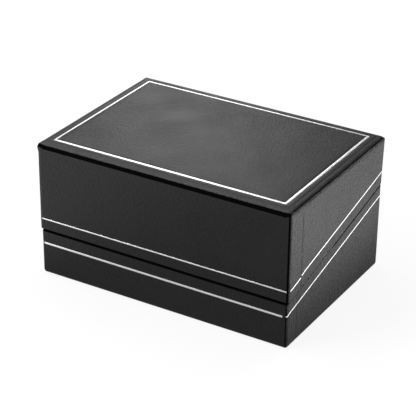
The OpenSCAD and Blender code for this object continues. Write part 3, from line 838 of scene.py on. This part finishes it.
def block(name, xs, ys, low, high, material_used, hole=lambda x, y: False):
    """A closed solid over a grid, from low(x, y) up to high(x, y), with holes right through."""
    made = bmesh.new()
    corners = {}

    def corner(i, j, height):
        if (i, j, height) not in corners:
            corners[i, j, height] = made.verts.new((xs[i], ys[j], height(xs[i], ys[j])))
        return corners[i, j, height]

    def filled(i, j):
        return (0 <= i < len(xs) - 1 and 0 <= j < len(ys) - 1
                and not hole((xs[i] + xs[i + 1]) / 2, (ys[j] + ys[j + 1]) / 2))

    for i in range(len(xs) - 1):
        for j in range(len(ys) - 1):
            if not filled(i, j):
                continue
            loop = [(i, j), (i + 1, j), (i + 1, j + 1), (i, j + 1)]
            made.faces.new([corner(a, b, high) for a, b in loop])
            made.faces.new([corner(a, b, low) for a, b in reversed(loop)])
            beyond = [(i, j - 1), (i + 1, j), (i, j + 1), (i - 1, j)]
            for one, other, next_to in zip(loop, loop[1:] + loop[:1], beyond):
                if not filled(*next_to):
                    made.faces.new((corner(*one, low), corner(*other, low), corner(*other, high),
                                    corner(*one, high)))
    return finish_mesh(name, made, [material_used])


def baked(piece):
    """The piece's mesh with its modifiers applied."""
    found = bpy.data.meshes.new_from_object(piece.evaluated_get(bpy.context.evaluated_depsgraph_get()))
    piece.modifiers.clear()
    piece.data = found
    return piece


SIM_SCALE = 10          # the cloth is simulated at ten times the real size


def swell(piece, voxel, most, within, held=lambda place: False):
    """Fill a closed piece out like a sewn pad. No point moves further than most, and within() bounds it."""
    remesh = piece.modifiers.new("even_mesh", "REMESH")
    remesh.mode = "VOXEL"
    remesh.voxel_size = voxel * MM
    baked(piece)
    mesh = piece.data
    first = [point.co.copy() for point in mesh.vertices]
    mesh.transform(Matrix.Scale(SIM_SCALE, 4))
    fixed = piece.vertex_groups.new(name="held")
    fixed.add([i for i, place in enumerate(first) if held(place / MM)], 1.0, "REPLACE")
    cloth = piece.modifiers.new("cloth", "CLOTH")
    cloth.settings.vertex_group_mass = "held"
    cloth.settings.quality = 5
    cloth.settings.use_pressure = True
    cloth.settings.uniform_pressure_force = 4
    cloth.settings.shrink_min = -0.03
    cloth.settings.effector_weights.gravity = 0
    cloth.point_cache.frame_start, cloth.point_cache.frame_end = 1, 20
    for step in range(1, 21):
        bpy.context.scene.frame_set(step)
    baked(piece)
    bpy.context.scene.frame_set(1)
    mesh = piece.data
    mesh.transform(Matrix.Scale(1 / SIM_SCALE, 4))
    for point, place in zip(mesh.vertices, first):
        moved = point.co - place
        if moved.length > most * MM:
            moved *= most * MM / moved.length
        point.co = within((place + moved) / MM) * MM
    for polygon in mesh.polygons:
        polygon.use_smooth = True
    smoother = piece.modifiers.new("smoother", "SUBSURF")
    smoother.levels = smoother.render_levels = 1
    return baked(piece)


def lid_foot(inset):
    """Where the lid's rear wall, inset from its outside, meets the bottom of the lid's lining."""
    y = LID_REAR - inset
    for _ in range(5):
        z = lid_rim(y) + LID_LINING_UP
        y = lid_rear(z) - inset
    return y, z


def lining_panels(body, front_wall, rear_wall, side_wall, half_x):
    """A body's four linings: the outline of each in (y, z), and the two ends of its run along X."""
    return {
        f"{body}_front": (front_wall, -half_x, half_x),
        f"{body}_rear": (rear_wall, -half_x, half_x),
        f"{body}_left": (side_wall, -half_x, -half_x + IN_SPACE - IN_LINING),
        f"{body}_right": (side_wall, half_x - IN_SPACE + IN_LINING, half_x),
    }


def make_linings(cloth):
    front, back = BASE_FRONT + IN_LINING, BASE_FRONT + IN_SPACE
    rear_in, rear_out = BASE_REAR - IN_SPACE, BASE_REAR - IN_LINING
    front_wall = [(front, FLOOR_TOP), (back, FLOOR_TOP), (back, base_rim(back) + LIP_H),
                  (front, base_rim(front) + LIP_H)]
    rear_wall = [(rear_in, FLOOR_TOP), (rear_out, FLOOR_TOP), (rear_out, base_rim(rear_out)),
                 (rear_in, base_rim(rear_in))]
    side_wall = [(back, FLOOR_TOP), (rear_in, FLOOR_TOP), (rear_in, base_rim(rear_in)),
                 (LIP_REAR, base_rim(LIP_REAR)), (LIP_REAR, base_rim(LIP_REAR) + LIP_H),
                 (back, base_rim(back) + LIP_H)]
    panels = lining_panels("base", front_wall, rear_wall, side_wall, BASE_X - IN_LINING)
    front, back = LID_FRONT + IN_LINING, LID_FRONT + IN_SPACE
    front_wall = [(front, lid_rim(front) + LID_LINING_UP), (back, lid_rim(back) + LID_LINING_UP),
                  (back, CEILING), (front, CEILING)]
    rear_wall = [lid_foot(IN_SPACE), lid_foot(IN_LINING), (lid_rear(CEILING) - IN_LINING, CEILING),
                 (lid_rear(CEILING) - IN_SPACE, CEILING)]
    side_wall = [(back, lid_rim(back) + LID_LINING_UP), lid_foot(IN_SPACE),
                 (lid_rear(CEILING) - IN_SPACE, CEILING), (back, CEILING)]
    panels |= lining_panels("lid", front_wall, rear_wall, side_wall, LID_X - IN_LINING)
    for place, (outline, low_x, high_x) in panels.items():
        panel = rounded(run_x(f"{place}_velvet", outline, low_x, high_x, cloth), 0.3)
        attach(panel, place.split("_")[0])
        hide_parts(f"{place}_lining")


def pad_top(x, y):
    return base_rim(y) - PAD_DROP


def pad_bottom(x, y):
    return pad_top(x, y) - PAD_T


def make_cufflink_pad(cloth):
    """A velvet pad with a slot for the toggle of each cufflink."""
    start, half_x, half_y = 0.5, BASE_X - PAD_IN, BASE_REAR - PAD_IN
    slot_x = [sign * SLOT_X + side * (SLOT_W / 2 + start) for sign in (-1, 1) for side in (-1, 1)]
    slot_y = SLOT_LEN / 2 + start
    xs = sorted([-half_x + start, *slot_x, half_x - start])
    ys = [-half_y + start, -slot_y, slot_y, half_y - start]

    def in_slot(x, y):
        return abs(abs(x) - SLOT_X) < SLOT_W / 2 and abs(y) < slot_y

    def within(place):
        x, y = clamp(place.x, -half_x, half_x), clamp(place.y, -half_y, half_y)
        return Vector((x, y, clamp(place.z, pad_bottom(x, y), pad_top(x, y) + PAD_PUFF)))

    pad = block("velvet_pad", xs, ys, pad_bottom, lambda x, y: pad_top(x, y) - start, cloth, in_slot)
    swell(pad, 1.1, 0.9, within, held=lambda place: place.z < pad_bottom(place.x, place.y) + 1)
    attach(pad, "base")
    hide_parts("cufflink_pad")


def make_satin_pad(cloth):
    """A puffed satin pad glued under the lid's top."""
    start = 1.0
    half_x, front = LID_X - PAD_IN, LID_FRONT + PAD_IN
    rear = lid_rear(CEILING - SATIN_T) - PAD_IN

    def low(x, y):
        inset = min(half_x - abs(x), y - front, rear - y)
        return CEILING - SATIN_EDGE - (SATIN_T - SATIN_EDGE - start) * smooth(inset / SATIN_CROWN)

    def within(place):
        return Vector((clamp(place.x, -half_x, half_x), clamp(place.y, front, rear),
                       clamp(place.z, CEILING - SATIN_T, CEILING)))

    pad = block("satin_cushion", spaced([-half_x + start, half_x - start], 2.5),
                spaced([front + start, rear - start], 2.5), low, lambda x, y: CEILING, cloth)
    swell(pad, 1.1, 1.4, within, held=lambda place: place.z > CEILING - 0.4)
    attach(pad, "lid")
    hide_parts("lid_satin_pad")


def make_foam(cut_foam):
    half_x, half_y = BASE_X - PAD_IN, BASE_REAR - PAD_IN
    riser = block("foam_riser", spaced([-half_x, half_x], 6), spaced([-half_y, half_y], 6),
                  lambda x, y: FLOOR_TOP, pad_bottom, cut_foam)
    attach(rounded(riser, 0.4), "base")
    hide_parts("pad_riser")
    lid = wrap_of["lid"]
    edge = [SKIN_IN, 1.1, 1.6, TOP_R, 4.0]
    padding = block("foam_top_padding", cross_marks(LID_X, edge, 6), cross_marks(LID_REAR, edge, 6),
                    lambda x, y: SKIN_Z, lambda x, y: lid.end_z(x, y) - SKIN_T, cut_foam)
    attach(padding, "lid")
    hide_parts("lid_top_padding")


def make_foot(cloth):
    half_x, half_y = BASE_X - FOOT_MARGIN, BASE_REAR - FOOT_MARGIN
    made = bmesh.new()
    xs, ys = spaced([-half_x, half_x], 2), spaced([-half_y, half_y], 2)

    def trimmed(x, y):
        wander = 0.06 * noise.noise(Vector((x, y, 0)) * 0.3)
        inner = 1 - wander / half_y
        return Vector((x * inner, y * inner, 0.0))

    skin(made, [[made.verts.new(trimmed(x, y)) for x in xs] for y in ys])
    foot = thicken(finish_mesh("felt_foot", made, [cloth]), FOOT_T - FOOT_GAP, offset=1.0)
    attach(foot, "base")
    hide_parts("base_foot_sheet")


def dress_boards_and_hinge(board, metal):
    for name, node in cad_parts.items():
        of_hinge = name.startswith("hinge_")
        if of_hinge or name.endswith("_board"):
            node.data.materials.clear()
            node.data.materials.append(metal if of_hinge else board)
        if of_hinge:
            rounded(node, 0.04, 2)


# -------------------- studio

FLOOR_WHITE = 0.88      # share of the floor that shows white to the camera; the rest takes the shadow
FLOOR_GAP = 0.02        # from the foot sheet down to the floor
LAMP_DISTANCE, LAMP_AIM = 0.75, Vector((0, 0, 0.02))        # metres
LAMPS = (       # name, azimuth from +X, elevation, size in metres and radiance
    ("key_softbox", 122.5, 29, (0.13, 0.22), 5.5),
    ("key_edge", 146, 30, (0.26, 0.30), 0.4),
    ("back_left_softbox", 150, 52, (0.34, 0.24), 3.1),
    ("left_softbox", 190, 62, (0.34, 0.26), 6.0),
    ("front_left_softbox", 230, 44, (0.34, 0.38), 9.0),
    ("back_softbox", 105, 66, (0.26, 0.22), 1.4),
    ("back_right_softbox", 75, 50, (0.26, 0.20), 7.8),
    ("right_softbox", 50, 66, (0.26, 0.22), 4.4),
    ("side_softbox", 10, 52, (0.30, 0.26), 2.0),
    ("overhead_softbox", 0, 90, (0.26, 0.26), 1.2),
)


def make_lamps():
    """Soft lamps, each as bright as its radiance where a mirror shows it."""
    for name, azimuth, elevation, size, radiance in LAMPS:
        data = bpy.data.lights.new(name, "AREA")
        data.shape = "RECTANGLE"
        data.size, data.size_y = size
        data.energy = radiance * math.pi * size[0] * size[1]
        a, e = math.radians(azimuth), math.radians(elevation)
        direction = Vector((math.cos(e) * math.cos(a), math.cos(e) * math.sin(a), math.sin(e)))
        lamp = bpy.data.objects.new(name, data)
        lamp.location = direction * LAMP_DISTANCE
        lamp.rotation_mode = "QUATERNION"
        lamp.rotation_quaternion = (lamp.location - LAMP_AIM).to_track_quat("Z", "Y")
        lamp.visible_camera = False
        bpy.context.scene.collection.objects.link(lamp)


def make_world():
    """White to the camera; to the object a dim room with a white backdrop low down."""
    world = bpy.data.worlds.new("studio")
    bpy.context.scene.world = world
    world.use_nodes = True
    nodes = Nodes(world.node_tree)
    seen, mirrored = nodes.rays()
    direction = nodes.add("SeparateXYZ", {0: nodes.add("TexCoord").outputs["Generated"]}).outputs
    backdrop = nodes.ramp(direction[2], 0.04, 0.12, 1.0, 0.05)
    room = nodes.mix(mirrored, grey(0.1), backdrop)
    strength = nodes.mix(seen, room, grey(1.0))
    background = nodes.add("Background", {"Color": grey(1.0), "Strength": strength})
    out = nodes.add("OutputWorld")
    world.node_tree.links.new(background.outputs[0], out.inputs[0])


def make_floor():
    """White paper with the box's shadow. To mirrored rays it glows with painted light, brighter far to the
    left and to the right, and dimmer close to the box as painted shade.
    """
    paper = bpy.data.materials.new("studio_floor")
    paper.use_nodes = True
    nodes = Nodes(paper.node_tree)
    place = nodes.add("TexCoord").outputs["Object"]
    fibres = nodes.mix(nodes.noise(place, 0.02), grey(0.86), grey(0.90))
    diffuse = nodes.add("BsdfDiffuse", {"Color": fibres})
    seen, mirrored = nodes.rays()
    axes = nodes.add("SeparateXYZ", {0: place}).outputs
    # painted glow for the box's mirror: painted shade close to the box's front and right side, painted light
    # further out to the left and the right
    across = nodes.plus(axes[0], nodes.times(axes[1], 0.35))
    beside = nodes.plus(axes[0], nodes.times(axes[1], 0.1))
    right = nodes.plus(nodes.ramp(beside, 0.056, 0.064, 0.0, 1.0),
                       nodes.ramp(beside, 0.064, 0.078, 0.0, 1.1))
    right = nodes.times(right, nodes.ramp(axes[1], 0.03, 0.10, 1.5, 0.62))
    painted_glow = nodes.plus(nodes.ramp(across, -0.100, -0.053, 1.4, 0.51), right)
    strength = nodes.mix(seen, painted_glow, grey(1.0))
    white = nodes.add("Emission", {"Color": grey(1.0), "Strength": strength})
    share = nodes.math("MAXIMUM", nodes.times(seen, FLOOR_WHITE), mirrored)
    both = nodes.add("MixShader", {0: share})
    paper.node_tree.links.new(diffuse.outputs[0], both.inputs[1])
    paper.node_tree.links.new(white.outputs[0], both.inputs[2])
    out = nodes.add("OutputMaterial")
    paper.node_tree.links.new(both.outputs[0], out.inputs[0])
    made = bmesh.new()
    bmesh.ops.create_grid(made, x_segments=8, y_segments=8, size=2500)
    bmesh.ops.translate(made, vec=(0, 0, -FLOOR_GAP), verts=made.verts)
    finish_mesh("floor", made, [paper])


def make_studio():
    bpy.context.scene.view_settings.view_transform = "Standard"
    make_world()
    make_floor()
    make_lamps()


# -------------------- the whole

make_camera()
cover = material("black_grained_cover", grained)
# painted shade: a near-black sheet with little reflection, laid where shade falls along edges and in the seam
painted_shade_material = material("painted_edge_shade", painted_shade_look)
silver = material("silver_foil", foil)
make_wraps(cover, painted_shade_material)
make_foil(silver)
black_velvet = material("black_velvet", velvet)
make_linings(black_velvet)
make_cufflink_pad(black_velvet)
make_satin_pad(material("ivory_satin", satin))
make_foam(material("grey_foam", foam))
make_foot(material("black_felt", felt))
dress_boards_and_hinge(material("greyboard", greyboard), material("hinge_steel", steel))
make_studio()
